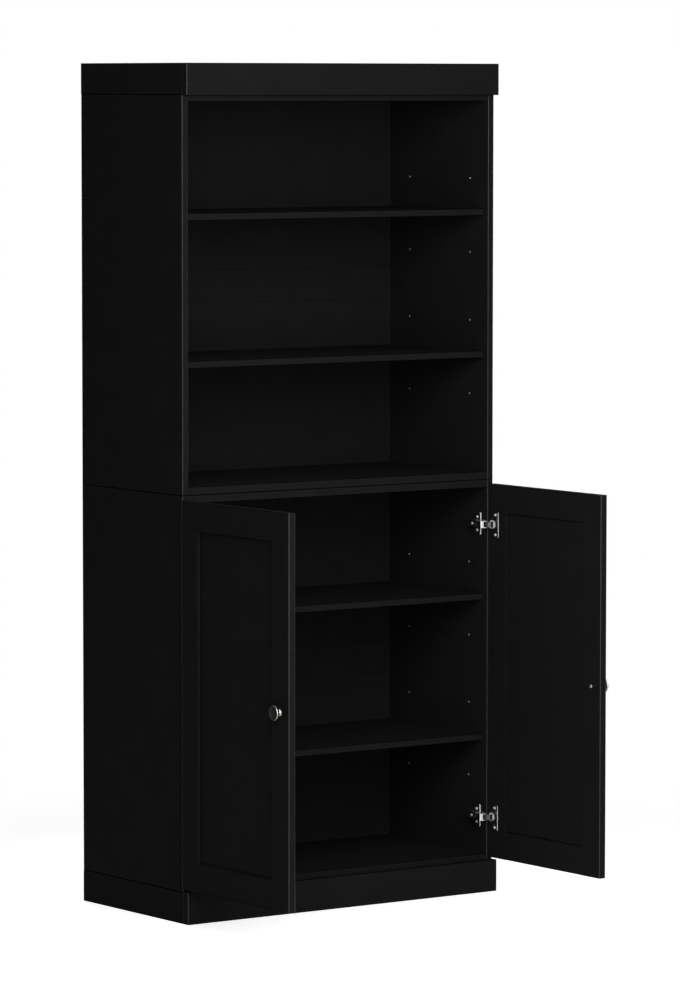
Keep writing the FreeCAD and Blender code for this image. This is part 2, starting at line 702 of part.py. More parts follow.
def arm_profile(points, half_height, height):
    """Solid from a side view of the arm: points are insets from the front edge and lifts off the side."""
    corners = [V(side_inner - lift, front_y + inset, height - half_height) for inset, lift in points]
    return Part.Face(Part.makePolygon(corners + corners[:1])).extrude(Z_AXIS * (2 * half_height))


def hinge_arm(height):
    """Channel-shaped arm, high at the nose, whose cheeks hold the link."""
    outside = arm_profile((
        (-arm_nose, arm_nose_lift),
        (-arm_nose, arm_nose_height),
        (arm_slope_front, arm_nose_height),
        (arm_slope_rear, arm_rear_height),
        (arm_rear, arm_rear_height),
        (arm_rear, plate_thickness),
        (arm_cheek_front, plate_thickness),
        (arm_cheek_front, arm_nose_lift),
    ), cheek_outer, height)
    ceiling = arm_nose_height - arm_sheet
    rear_ceiling = arm_rear_height - arm_sheet
    inside = arm_profile((
        (-2 * arm_nose, 0),
        (-2 * arm_nose, nose_wall_lift),
        (arm_sheet - arm_nose, nose_wall_lift),
        (arm_sheet - arm_nose, ceiling),
        (arm_slope_front, ceiling),
        (arm_slope_rear, rear_ceiling),
        (2 * arm_rear, rear_ceiling),
        (2 * arm_rear, 0),
    ), cheek_inner, height)
    arm = outside.cut(inside)
    for seat, _ in adjusters(height):
        arm = arm.cut(Part.makeCylinder(adjuster_radius, arm_sheet, seat, X_AXIS))
    return arm


def wing_screw_seats(height):
    """Where the two wood screws sit on the plate's wings."""
    x = side_inner - plate_thickness
    y = front_y + wing_front + wing_depth / 2
    return [V(x, y, height - wing_screw_pitch / 2), V(x, y, height + wing_screw_pitch / 2)]


def mounting_plate(height):
    """Cross-shaped plate on the side panel."""
    rail = block(side_inner - plate_thickness, side_inner, front_y + plate_front, front_y + plate_rear,
                 height - plate_half_width, height + plate_half_width)
    wings = rounded_plate(front_y + wing_front, front_y + wing_front + wing_depth, height - wing_height / 2,
                          height + wing_height / 2, side_inner - plate_thickness, side_inner, wing_corner)
    plate = rail.fuse(wings).removeSplitter()
    for seat in wing_screw_seats(height):
        plate = plate.cut(Part.makeCylinder(wood_screw_radius, plate_thickness, seat, X_AXIS))
    return plate


def hinge_screws(height):
    """Two wood screws in the plate and two machine screws on the arm."""
    screws = [screw(seat, X_AXIS * -1, wood_screw_head_radius, wood_screw_head_height, wood_screw_radius,
                    plate_thickness + wood_screw_bite) for seat in wing_screw_seats(height)]
    screws += [screw(seat, X_AXIS * -1, adjuster_head_radius, adjuster_head_height, adjuster_radius, length)
               for seat, length in adjusters(height)]
    return screws


def wing_screw_holes():
    """Holes in the right side panel for the plates' wood screws."""
    holes = []
    for height in hinge_heights:
        for seat in wing_screw_seats(height):
            length = plate_thickness + wood_screw_bite
            holes.append(Part.makeCylinder(wood_screw_radius, length, seat, X_AXIS))
    return Part.makeCompound(holes)


def both_sides(solids):
    """A group of pieces and its mirror image, in one compound."""
    return Part.makeCompound(solids + [mirrored(solid) for solid in solids])


def carcass_hinges():
    """Mounting plates, arms and screws of all four hinges."""
    screws = []
    for height in hinge_heights:
        screws += hinge_screws(height)
    return {
        "hinge_mounting_plates": both_sides([mounting_plate(height) for height in hinge_heights]),
        "hinge_arms": both_sides([hinge_arm(height) for height in hinge_heights]),
        "hinge_plate_screws": both_sides(screws),
    }


def build():
    """Every node of the assembly by name."""
    parts = plinth()
    parts.update(cap())
    parts.update(carcass("cabinet", cabinet_z, cabinet_floor, cabinet_ceiling, split_z))
    parts.update(carcass("bookcase", split_z, bookcase_floor, bookcase_ceiling, cap_z))
    levels = ((cabinet_z, cabinet_floor), (cabinet_ceiling, split_z), (split_z, bookcase_floor),
              (bookcase_ceiling, cap_z))
    parts["panel_dowels"] = dowels([(low + high) / 2 for low, high in levels])
    parts["deck_screws"] = deck_screws()
    for name in ("cabinet_top_panel", "bookcase_bottom_panel"):
        parts[name] = parts[name].cut(deck_screw_holes())
    parts["cabinet_right_side"] = parts["cabinet_right_side"].cut(wing_screw_holes())
    parts["cabinet_left_side"] = mirrored(parts["cabinet_right_side"])
    parts.update(carcass_hinges())
    for name, shape in door_pieces().items():
        parts["right_" + name] = opened(shape)
        parts["left_" + name] = mirrored(opened(shape))
    parts["right_hinge_links"] = hinge_links()
    parts["left_hinge_links"] = mirrored(hinge_links())
    return parts


def main():
    """Write one STEP file per node."""
    os.makedirs(OUT, exist_ok=True)
    for name, shape in sorted(build().items()):
        shape.exportStep(os.path.join(OUT, name + ".step"))
        print(f"{name}: {len(shape.Solids)} solids, {shape.Volume / 1000:.1f} cm3, valid {shape.isValid()}")


if __name__ == "__main__":
    main()
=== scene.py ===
"""Bookcase with cabinet doors: finishes, eased boards, turned knobs and fine hinge pieces, in a plain studio.

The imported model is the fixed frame. Metres, +Z up, -Y front, +X right.
"""

import logging
import math
from dataclasses import dataclass
from enum import Enum, IntEnum
from typing import Any, Callable, Sequence

import bmesh
import bpy
from mathutils import Matrix, Vector


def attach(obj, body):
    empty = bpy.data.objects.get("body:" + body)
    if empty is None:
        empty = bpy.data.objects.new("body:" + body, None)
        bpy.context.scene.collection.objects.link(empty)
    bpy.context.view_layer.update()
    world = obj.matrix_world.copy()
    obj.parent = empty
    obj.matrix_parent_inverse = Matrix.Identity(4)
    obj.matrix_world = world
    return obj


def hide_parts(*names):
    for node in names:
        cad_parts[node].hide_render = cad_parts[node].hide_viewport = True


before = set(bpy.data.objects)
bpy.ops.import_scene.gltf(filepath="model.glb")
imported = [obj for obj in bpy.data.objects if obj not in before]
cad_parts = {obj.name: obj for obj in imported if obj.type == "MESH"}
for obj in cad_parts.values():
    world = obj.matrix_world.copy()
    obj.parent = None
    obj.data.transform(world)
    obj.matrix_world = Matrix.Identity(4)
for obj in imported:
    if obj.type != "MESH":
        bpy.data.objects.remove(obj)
log = logging.getLogger("bookcase")

MM = 0.001
WHITE = (1.0, 1.0, 1.0, 1.0)
WELD_DISTANCE = 0.001 * MM
Point = tuple[float, float, float]
Colour = tuple[float, float, float]
Face = bmesh.types.BMFace
Edge = bmesh.types.BMEdge
Piece = bpy.types.Object


# ---- Shader maths ----
class Wire:
    """A shader socket that Python's operators work on."""

    def __init__(self, shader: "Shader", socket: bpy.types.NodeSocket | None) -> None:
        """Keeps the socket, none for an output node, and the shader that it belongs to."""
        self.shader = shader
        self.socket = socket

    def _math(self, operation: str, first: "Wire | float", second: "Wire | float") -> "Wire":
        """Adds a Math node.

        Args:
            operation: the node's operation.
            first: first value.
            second: second value.

        Returns:
            The node's output.
        """
        return self.shader.node("ShaderNodeMath", {"operation": operation}, {0: first, 1: second})

    def __add__(self, other: "Wire | float") -> "Wire":
        """Sum."""
        return self._math("ADD", self, other)

    __radd__ = __add__

    def __mul__(self, other: "Wire | float") -> "Wire":
        """Product."""
        return self._math("MULTIPLY", self, other)

    __rmul__ = __mul__

    def at_least(self, other: "Wire | float") -> "Wire":
        """The larger of the two."""
        return self._math("MAXIMUM", self, other)


class Shader:
    """A material's or the world's node tree, built one node at a time."""

    # Sockets of a Mix node that mixes colours.
    MIX_FACTOR = 0
    MIX_FIRST = 6
    MIX_SECOND = 7
    MIX_RESULT = 2

    def __init__(self, tree: bpy.types.NodeTree) -> None:
        """Empties the tree.

        Args:
            tree: the tree to build in.
        """
        self.tree = tree
        tree.nodes.clear()

    def node(
        self,
        kind: str,
        settings: dict[str, Any] | None = None,
        inputs: dict[str | int, Any] | None = None,
        output: str | int = 0,
    ) -> Wire:
        """Adds a node, sets it, then feeds its sockets.

        Args:
            kind: the node's type.
            settings: its properties; "stops" are a ramp's (position, grey) pairs.
            inputs: values or wires, by socket name or index.
            output: the output to return.

        Returns:
            The chosen output.
        """
        added = self.tree.nodes.new(kind)
        for name, value in (settings or {}).items():
            if name == "stops":
                self._set_stops(added.color_ramp, value)
            else:
                setattr(added, name, value)
        for name, value in (inputs or {}).items():
            if isinstance(value, Wire):
                self.tree.links.new(value.socket, added.inputs[name])
            else:
                added.inputs[name].default_value = value
        return Wire(self, added.outputs[output] if len(added.outputs) else None)

    @staticmethod
    def _set_stops(ramp: bpy.types.ColorRamp, stops: Sequence[tuple[float, float]]) -> None:
        """Gives a ramp its two grey stops.

        Args:
            ramp: the ramp, which starts with two stops.
            stops: positions and greys, in order.
        """
        for element, (position, grey) in zip(ramp.elements, stops):
            element.position = position
            element.color = (grey, grey, grey, 1.0)

    def place(self) -> Wire:
        """The point on the piece, in metres."""
        return self.node("ShaderNodeTexCoord", output="Object")

    def stretched(self, place: Wire, scale: Point) -> Wire:
        """The place, scaled on each axis."""
        return self.node("ShaderNodeMapping", {}, {"Vector": place, "Scale": scale})

    def noise(self, place: Wire, scale: float, detail: float = 2.0, roughness: float = 0.5) -> Wire:
        """Soft noise from 0 to 1.

        Args:
            place: where it is read.
            scale: features to a metre.
            detail: finer layers.
            roughness: weight of the finer layers.

        Returns:
            The noise.
        """
        return self.node(
            "ShaderNodeTexNoise",
            {},
            {"Vector": place, "Scale": scale, "Detail": detail, "Roughness": roughness},
        )

    def ramp(self, value: Wire, stops: Sequence[tuple[float, float]]) -> Wire:
        """The value taken through a ramp of greys."""
        return self.node("ShaderNodeValToRGB", {"stops": stops}, {"Fac": value})

    def tint(self, mask: Wire, first: Colour, second: Colour) -> Wire:
        """Mixes two colours.

        Args:
            mask: 0 gives the first, 1 the second.
            first: first colour.
            second: second colour.

        Returns:
            The mixed colour.
        """
        inputs = {self.MIX_FACTOR: mask, self.MIX_FIRST: (*first, 1.0), self.MIX_SECOND: (*second, 1.0)}
        return self.node("ShaderNodeMix", {"data_type": "RGBA"}, inputs, self.MIX_RESULT)

    def bump(self, height: Wire, distance: float) -> Wire:
        """Surface normal for a height.

        Args:
            height: the height, 0 to 1.
            distance: metres that 1 stands for.

        Returns:
            The normal.
        """
        return self.node("ShaderNodeBump", {}, {"Height": height, "Distance": distance})


# ---- Finishes ----
class Finish:
    """A material with one Principled shader, which each kind of finish feeds in its own way."""

    name: str

    def sockets(self, shader: Shader) -> dict[str, Any]:
        """What each socket of the Principled shader gets.

        Args:
            shader: the material's nodes.

        Returns:
            Values and wires, by socket name.
        """
        raise NotImplementedError

    def material(self) -> bpy.types.Material:
        """Builds the material.

        Returns:
            The material.
        """
        material = bpy.data.materials.new(self.name)
        material.use_nodes = True
        shader = Shader(material.node_tree)
        body = shader.node("ShaderNodeBsdfPrincipled", {}, self.sockets(shader))
        shader.node("ShaderNodeOutputMaterial", {}, {"Surface": body})
        return material


@dataclass(frozen=True)
class BlackLaminate(Finish):
    """Satin black laminate with a soft cloud in its sheen and a fine embossed skin."""

    name: str = "black_laminate_face"
    deep: Colour = (0.0113, 0.0113, 0.0112)
    pale: Colour = (0.0140, 0.0140, 0.0139)
    pale_from: float = 0.30
    pale_to: float = 0.72
    cloud_scale: float = 16.0
    cloud_detail: float = 4.0
    cloud_grit: float = 0.62
    cloud_share: float = 0.82
    skin_scale: float = 620.0
    skin_share: float = 0.18
    skin_depth: float = 0.03 * MM
    roughness: float = 0.46
    cloud_roughness: float = 0.10
    specular: float = 0.001

    def sockets(self, shader: Shader) -> dict[str, Any]:
        """Feeds the cloud and the skin to colour, roughness and normal.

        Args:
            shader: the material's nodes.

        Returns:
            Values and wires, by socket name.
        """
        place = shader.place()
        cloud = shader.noise(place, self.cloud_scale, self.cloud_detail, self.cloud_grit)
        skin = shader.noise(place, self.skin_scale)
        mix = cloud * self.cloud_share + skin * self.skin_share
        shade = shader.ramp(mix, ((self.pale_from, 0.0), (self.pale_to, 1.0)))
        return {
            "Base Color": shader.tint(shade, self.deep, self.pale),
            "Roughness": self.roughness - self.cloud_roughness / 2 + cloud * self.cloud_roughness,
            "Specular IOR Level": self.specular,
            "Normal": shader.bump(skin, self.skin_depth),
        }


@dataclass(frozen=True)
class EdgeLaminate(Finish):
    """The same laminate on a strip too narrow for its skin to show; its colours hold painted light, a painted
    highlight or painted shade.
    """

    name: str
    deep: Colour
    pale: Colour
    wear_scale: float
    smoothest: float
    wear_roughness: float
    specular: float
    wear_detail: float = 4.0
    wear_grit: float = 0.6

    def sockets(self, shader: Shader) -> dict[str, Any]:
        """Feeds the wear to colour and roughness.

        Args:
            shader: the material's nodes.

        Returns:
            Values and wires, by socket name.
        """
        wear = shader.noise(shader.place(), self.wear_scale, self.wear_detail, self.wear_grit)
        return {
            "Base Color": shader.tint(wear, self.deep, self.pale),
            "Roughness": self.smoothest + wear * self.wear_roughness,
            "Specular IOR Level": self.specular,
        }


@dataclass(frozen=True)
class ArrisPaintedHighlight(EdgeLaminate):
    """Where the edge was scraped and eased: smoother and glossier, and painted lighter than the face as a
    painted highlight.
    """

    name: str = "black_laminate_arris_painted_highlight"
    deep: Colour = (0.012, 0.012, 0.012)
    # the pale tone, well above the face's colour, is a painted highlight
    pale: Colour = (0.020, 0.020, 0.020)
    wear_scale: float = 34.0
    smoothest: float = 0.22
    wear_roughness: float = 0.12
    specular: float = 0.34


@dataclass(frozen=True)
class JointPaintedShade(EdgeLaminate):
    """On the narrow level strips and grooves: painted shade, far darker than the face, and dull."""

    name: str = "black_laminate_joint_painted_shade"
    # painted shade: about a tenth of the face's colour
    deep: Colour = (0.0014, 0.0014, 0.0014)
    pale: Colour = (0.0028, 0.0027, 0.0026)
    wear_scale: float = 60.0
    smoothest: float = 0.72
    wear_roughness: float = 0.10
    specular: float = 0.0


@dataclass(frozen=True)
class RawBoard(Finish):
    """Pressed wood chips, seen where the laminate is bored through."""

    name: str = "raw_board"
    dark: Colour = (0.17, 0.162, 0.148)
    light: Colour = (0.44, 0.43, 0.405)
    chip_scale: float = 900.0
    chip_share: float = 0.6
    fibre_scale: float = 1980.0
    fibre_detail: float = 3.0
    fibre_grit: float = 0.6
    fibre_share: float = 0.6
    relief: float = 0.12 * MM
    smoothest: float = 0.80
    fibre_roughness: float = 0.15
    specular: float = 0.2

    def sockets(self, shader: Shader) -> dict[str, Any]:
        """Feeds chips and fibre to colour, roughness and normal.

        Args:
            shader: the material's nodes.

        Returns:
            Values and wires, by socket name.
        """
        place = shader.place()
        chip_inputs = {"Vector": place, "Scale": self.chip_scale}
        chips = shader.node("ShaderNodeTexVoronoi", {}, chip_inputs, "Distance")
        fibre = shader.noise(place, self.fibre_scale, self.fibre_detail, self.fibre_grit)
        mix = chips * self.chip_share + fibre * self.fibre_share
        return {
            "Base Color": shader.tint(mix, self.dark, self.light),
            "Roughness": self.smoothest + fibre * self.fibre_roughness,
            "Specular IOR Level": self.specular,
            "Normal": shader.bump(mix, self.relief),
        }


@dataclass(frozen=True)
class PlainWood(Finish):
    """Planed softwood for the blocks and bearer, and pale dowels."""

    name: str = "planed_softwood"
    early: Colour = (0.62, 0.43, 0.24)
    late: Colour = (0.42, 0.24, 0.115)
    ring_stretch: Point = (1.0, 0.12, 1.0)
    ring_scale: float = 90.0
    ring_distortion: float = 5.0
    ring_detail: float = 3.0
    ring_detail_scale: float = 1.5
    ring_share: float = 0.6
    pore_stretch: Point = (1.0, 0.04, 1.0)
    pore_scale: float = 1500.0
    pore_detail: float = 3.0
    pore_share: float = 0.35
    relief: float = 0.08 * MM
    smoothest: float = 0.55
    pore_roughness: float = 0.2
    specular: float = 0.3

    def sockets(self, shader: Shader) -> dict[str, Any]:
        """Feeds rings and pores to colour, roughness and normal.

        Args:
            shader: the material's nodes.

        Returns:
            Values and wires, by socket name.
        """
        place = shader.place()
        rings = shader.node(
            "ShaderNodeTexWave",
            {"wave_type": "RINGS", "rings_direction": "Y"},
            {
                "Vector": shader.stretched(place, self.ring_stretch),
                "Scale": self.ring_scale,
                "Distortion": self.ring_distortion,
                "Detail": self.ring_detail,
                "Detail Scale": self.ring_detail_scale,
            },
            "Fac",
        )
        pores = shader.noise(shader.stretched(place, self.pore_stretch), self.pore_scale, self.pore_detail)
        mix = rings * self.ring_share + pores * self.pore_share
        return {
            "Base Color": shader.tint(mix, self.early, self.late),
            "Roughness": self.smoothest + pores * self.pore_roughness,
            "Specular IOR Level": self.specular,
            "Normal": shader.bump(mix, self.relief),
        }


@dataclass(frozen=True)
class PlatedMetal(Finish):
    """Plated steel: a bright skin with faint clouding and fine rolling lines."""

    name: str
    colour: Colour
    shade: Colour
    smoothest: float
    metallic: float = 1.0
    cloud_scale: float = 220.0
    cloud_detail: float = 3.0
    cloud_grit: float = 0.55
    cloud_roughness: float = 0.06
    line_stretch: Point = (1.0, 0.06, 1.0)
    line_scale: float = 2600.0
    line_roughness: float = 0.05
    line_depth: float = 0.004 * MM

    def sockets(self, shader: Shader) -> dict[str, Any]:
        """Feeds the clouding and the rolling lines to colour, roughness and normal.

        Args:
            shader: the material's nodes.

        Returns:
            Values and wires, by socket name.
        """
        place = shader.place()
        cloud = shader.noise(place, self.cloud_scale, self.cloud_detail, self.cloud_grit)
        lines = shader.noise(shader.stretched(place, self.line_stretch), self.line_scale)
        return {
            "Base Color": shader.tint(cloud, self.shade, self.colour),
            "Metallic": self.metallic,
            "Roughness": self.smoothest + cloud * self.cloud_roughness + lines * self.line_roughness,
            "Normal": shader.bump(lines, self.line_depth),
        }


@dataclass(frozen=True)
class KnobLacquer(Finish):
    """Dark lacquer on the knob's face."""

    name: str = "dark_knob_lacquer"
    deep: Colour = (0.007, 0.0068, 0.0066)
    pale: Colour = (0.014, 0.0135, 0.0125)
    cloud_scale: float = 260.0
    cloud_detail: float = 3.0
    cloud_grit: float = 0.6
    smoothest: float = 0.28
    cloud_roughness: float = 0.10
    specular: float = 0.04
    skin_scale: float = 1800.0
    skin_detail: float = 1.0
    skin_depth: float = 0.006 * MM

    def sockets(self, shader: Shader) -> dict[str, Any]:
        """Feeds the cloud and the skin to colour, roughness and normal.

        Args:
            shader: the material's nodes.

        Returns:
            Values and wires, by socket name.
        """
        place = shader.place()
        cloud = shader.noise(place, self.cloud_scale, self.cloud_detail, self.cloud_grit)
        return {
            "Base Color": shader.tint(cloud, self.deep, self.pale),
            "Roughness": self.smoothest + cloud * self.cloud_roughness,
            "Specular IOR Level": self.specular,
            "Normal": shader.bump(shader.noise(place, self.skin_scale, self.skin_detail), self.skin_depth),
        }


class Finishes:
    """Every finish of the bookcase, made once."""

    def __init__(self) -> None:
        """Builds the materials."""
        self.laminate = BlackLaminate().material()
        # lighter upright arrises: a painted highlight
        self.arris = ArrisPaintedHighlight().material()
        # dark level strips and grooves: painted shade
        self.joint = JointPaintedShade().material()
        self.raw = RawBoard().material()
        self.wood = PlainWood().material()
        self.nickel = PlatedMetal(
            "bright_nickel_plate", colour=(0.72, 0.715, 0.70), shade=(0.60, 0.595, 0.58), smoothest=0.19
        ).material()
        # near-white, nearly non-metal coat for hinge faces turned to the front: a painted highlight
        self.satin = PlatedMetal(
            "nickel_painted_highlight",
            colour=(0.96, 0.96, 0.955),
            shade=(0.91, 0.91, 0.905),
            smoothest=0.29,
            metallic=0.05,
        ).material()
        # near-black steel for the links and the inside of the cups: painted shade
        self.link = PlatedMetal(
            "link_steel_painted_shade", colour=(0.085, 0.085, 0.088), shade=(0.055, 0.055, 0.058), smoothest=0.31
        ).material()
        self.zinc = PlatedMetal(
            "zinc_plate", colour=(0.70, 0.71, 0.72), shade=(0.54, 0.55, 0.57), smoothest=0.27, metallic=0.8
        ).material()
        self.dark_screw = PlatedMetal(
            "blackened_steel", colour=(0.055, 0.055, 0.058), shade=(0.03, 0.03, 0.032), smoothest=0.37
        ).material()
        self.knob_face = KnobLacquer().material()
        self.knob_rim = PlatedMetal(
            "knob_rim_plate",
            colour=(0.45, 0.43, 0.40),
            shade=(0.38, 0.36, 0.335),
            smoothest=0.15,
            metallic=0.85,
        ).material()
        self.by_slot = {
            "black_laminate": self.laminate,
            "plain_wood": self.wood,
            "bright_nickel": self.nickel,
            "zinc_steel": self.zinc,
            "dark_knob": self.knob_face,
        }


# ---- Bench work ----
class Skin(IntEnum):
    """Material slots of a laminated board."""

    FACE = 0
    # upright eased strips: a painted highlight
    ARRIS = 1
    # level eased strips: painted shade
    JOINT = 2
    BORE = 3


class Bench:
    """The operators that every piece goes through, with only what is asked for selected."""

    FLAT_WITHIN = math.radians(0.6)  # faces that turn less than this are one flat face
    ROUND_PROFILE = 0.5  # a bevel with this profile is a true arc
    BROAD_FACES = 100  # the weight at which only the broad faces steer the shading

    @staticmethod
    def take(piece: Piece) -> None:
        """Selects one object alone and makes it active.

        Args:
            piece: the object.
        """
        bpy.ops.object.select_all(action="DESELECT")
        piece.select_set(True)
        bpy.context.view_layer.objects.active = piece

    @classmethod
    def edit(cls, piece: Piece, kind: str = "EDGE") -> bmesh.types.BMesh:
        """Opens a piece in edit mode with nothing selected.

        Args:
            piece: the object.
            kind: the select mode.

        Returns:
            Its edit mesh.
        """
        cls.take(piece)
        bpy.ops.object.mode_set(mode="EDIT")
        bpy.ops.mesh.select_mode(type=kind)
        bpy.ops.mesh.select_all(action="DESELECT")
        return bmesh.from_edit_mesh(piece.data)

    @staticmethod
    def close() -> None:
        """Leaves edit mode."""
        bpy.ops.object.mode_set(mode="OBJECT")

    @classmethod
    def copy_node(cls, node: str, name: str) -> Piece:
        """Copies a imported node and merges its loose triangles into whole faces.

        Args:
            node: the node.
            name: the new piece's name.

        Returns:
            The copy.
        """
        piece = bpy.data.objects.new(name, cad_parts[node].data.copy())
        bpy.context.scene.collection.objects.link(piece)
        cls.edit(piece, "VERT")
        bpy.ops.mesh.select_all(action="SELECT")
        bpy.ops.mesh.remove_doubles(threshold=WELD_DISTANCE)
        bpy.ops.mesh.dissolve_limited(angle_limit=cls.FLAT_WITHIN)
        cls.close()
        return piece

    @classmethod
    def bevel(cls, offset: float, segments: int) -> None:
        """Rounds the selected edges.

        Args:
            offset: how far the round reaches on each side of an edge.
            segments: its number of strips.
        """
        bpy.ops.mesh.bevel(
            offset=offset, segments=segments, profile=cls.ROUND_PROFILE, affect="EDGES", clamp_overlap=True
        )

    @classmethod
    def shade(cls, piece: Piece, angle: float) -> None:
        """Smooth shading that keeps broad faces flat.

        Args:
            piece: the object.
            angle: edges sharper than this stay sharp, in degrees.
        """
        cls.take(piece)
        bpy.ops.object.shade_smooth_by_angle(angle=math.radians(angle))
        weighting = piece.modifiers.new("broad_faces", "WEIGHTED_NORMAL")
        weighting.keep_sharp = True
        weighting.weight = cls.BROAD_FACES
        bpy.ops.object.modifier_apply(modifier=weighting.name)


def give(piece: Piece, body: str, slot: str, *nodes: str) -> None:
    """Hands a finished piece to the frame.

    Args:
        piece: the piece.
        body: the body that it rides on.
        slot: the record's material slot; not used.
        nodes: the nodes that it stands for.
    """
    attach(piece, body)
    if nodes:
        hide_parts(*nodes)
    log.info("%s rides on %s, %d faces", piece.name, body, len(piece.data.polygons))


@dataclass
class BoardMaker:
    """Turns a packed board into one with rounded arrises and raw bores; upright arrises get a painted
    highlight, level ones painted shade.
    """

    finishes: Finishes
    rounding: float = 0.42 * MM
    segments: int = 3
    bore_turn: tuple[float, float] = (2.0, 30.0)  # degrees between the facets of a bore
    shoulder_turn: tuple[float, float] = (30.0, 62.0)  # degrees at an arris that gets rounded
    arris_width: float = 1.5 * MM
    square: float = 0.9995  # a face is square to an axis where its normal has a larger part than this
    smooth_below: float = 32.0  # degrees

    def _bored_faces(self, mesh: bmesh.types.BMesh) -> set[Face]:
        """Walls and floors of the bores.

        Args:
            mesh: the board's edit mesh.

        Returns:
            The faces.
        """
        low, high = (math.radians(turn) for turn in self.bore_turn)
        walls = set()
        for edge in mesh.edges:
            if len(edge.link_faces) == 2 and low < edge.calc_face_angle(0.0) < high:
                walls.update(edge.link_faces)
        floors = {
            face
            for face in mesh.faces
            if face not in walls
            and all(other in walls or other is face for edge in face.edges for other in edge.link_faces)
        }
        return walls | floors

    def board(self, node: str, body: str, plain: Callable[[Face], bool] | None = None) -> None:
        """Dresses one board.

        Args:
            node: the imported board.
            body: the body that it rides on.
            plain: picks the strips on eased edges that keep the face's finish.
        """
        piece = Bench.copy_node(node, f"{node}_laminated")
        piece.data.materials.clear()
        finishes = self.finishes
        for material in (finishes.laminate, finishes.arris, finishes.joint, finishes.raw):
            piece.data.materials.append(material)
        mesh = Bench.edit(piece)
        bored = self._bored_faces(mesh)
        for face in mesh.faces:
            face.material_index = Skin.BORE if face in bored else Skin.FACE
        low, high = (math.radians(turn) for turn in self.shoulder_turn)
        for edge in mesh.edges:
            if len(edge.link_faces) == 2 and not bored.intersection(edge.link_faces):
                edge.select_set(low < edge.calc_face_angle(0.0) < high)
        bmesh.update_edit_mesh(piece.data)
        Bench.bevel(self.rounding, self.segments)
        mesh = bmesh.from_edit_mesh(piece.data)
        # Upright strips get the painted highlight, level strips the painted shade.
        for face in mesh.faces:
            if face.material_index == Skin.FACE and self._is_arris(face) and not (plain and plain(face)):
                face.material_index = Skin.ARRIS if self.stands(face) else Skin.JOINT
        bmesh.update_edit_mesh(piece.data)
        Bench.close()
        Bench.shade(piece, self.smooth_below)
        give(piece, body, "black_laminate", node)

    @staticmethod
    def stands(face: Face) -> bool:
        """Whether a strip's long edges are upright.

        Args:
            face: the strip.

        Returns:
            True for an upright strip, False for a level one.
        """
        longest = max(face.edges, key=lambda edge: edge.calc_length())
        span = longest.verts[1].co - longest.verts[0].co
        return abs(span.z) > abs(span.x) + abs(span.y)

    def _is_arris(self, face: Face) -> bool:
        """Whether a face is part of an eased edge.

        Args:
            face: the face.

        Returns:
            True for a narrow face between the broad ones.
        """
        if max(abs(part) for part in face.normal) > self.square:
            return False
        longest = max(edge.calc_length() for edge in face.edges)
        return face.calc_area() < self.arris_width * longest


@dataclass(frozen=True)
class Rounding:
    """Edges of a metal piece that are rounded together."""

    choose: Callable[[Edge], bool]
    offset: float
    segments: int


@dataclass(frozen=True)
class Coat:
    """A second finish on some faces of a metal piece."""

    material: bpy.types.Material
    choose: Callable[[Face], bool]


@dataclass
class MetalMaker:
    """Turns packed hardware into pressed metal with real bends and softened edges."""

    finishes: Finishes
    edge_round: float = 0.22 * MM
    edge_segments: int = 2
    sharp_from: float = math.radians(38.0)
    smooth_below: float = 36.0  # degrees

    def piece(
        self,
        node: str,
        body: str,
        slot: str,
        material: bpy.types.Material,
        bends: Sequence[Rounding] = (),
        soften: bool = True,
        coats: Sequence[Coat] = (),
    ) -> None:
        """Copies a node, bends and softens its edges and dresses it.

        Args:
            node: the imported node.
            body: the body that it rides on.
            slot: the record's material slot.
            material: its finish.
            bends: edges that get a larger round, in order.
            soften: whether the other sharp edges get a small round.
            coats: further finishes, in order; a later one covers an earlier one.
        """
        piece = Bench.copy_node(node, f"{node}_pressed")
        piece.data.materials.clear()
        piece.data.materials.append(material)
        for bend in bends:
            self._round(piece, bend)
        if soften:
            self._round(piece, Rounding(self._is_sharp, self.edge_round, self.edge_segments))
        for coat in coats:
            self._paint(piece, coat)
        Bench.shade(piece, self.smooth_below)
        give(piece, body, slot, node)

    @staticmethod
    def _paint(piece: Piece, coat: Coat) -> None:
        """Gives chosen faces their own finish.

        Args:
            piece: the object.
            coat: the finish and its faces.
        """
        piece.data.materials.append(coat.material)
        mesh = Bench.edit(piece, "FACE")
        for face in mesh.faces:
            if coat.choose(face):
                face.material_index = len(piece.data.materials) - 1
        bmesh.update_edit_mesh(piece.data)
        Bench.close()

    def _is_sharp(self, edge: Edge) -> bool:
        """Whether an edge is still sharp."""
        return len(edge.link_faces) == 2 and edge.calc_face_angle(0.0) > self.sharp_from

    @staticmethod
    def _round(piece: Piece, rounding: Rounding) -> None:
        """Rounds the chosen edges.

        Args:
            piece: the object.
            rounding: which edges, and how far.
        """
        mesh = Bench.edit(piece)
        chosen = 0
        for edge in mesh.edges:
            if rounding.choose(edge):
                edge.select_set(True)
                chosen += 1
        bmesh.update_edit_mesh(piece.data)
        if chosen:
            Bench.bevel(rounding.offset, rounding.segments)
        Bench.close()
        log.info("%s: %d edges rounded by %.2f mm", piece.name, chosen, rounding.offset / MM)


# ---- Sub-assemblies ----
class Case(Enum):
    """The two carcasses that stand on each other."""

    CABINET = "cabinet"
    BOOKCASE = "bookcase"


class Hand(Enum):
    """The side of a door, with its name and the sign of its X."""

    LEFT = ("left", -1)
    RIGHT = ("right", 1)

    def __init__(self, word: str, sign: int) -> None:
        """Keeps the name and the sign."""
        self.word = word
        self.sign = sign


@dataclass
class FixedBoards:
    """Laminated boards that stand still."""

    maker: BoardMaker
    boards: tuple[str, ...]

    def build(self) -> None:
        """Dresses the boards."""
        for node in self.boards:
            self.maker.board(node, "carcass")


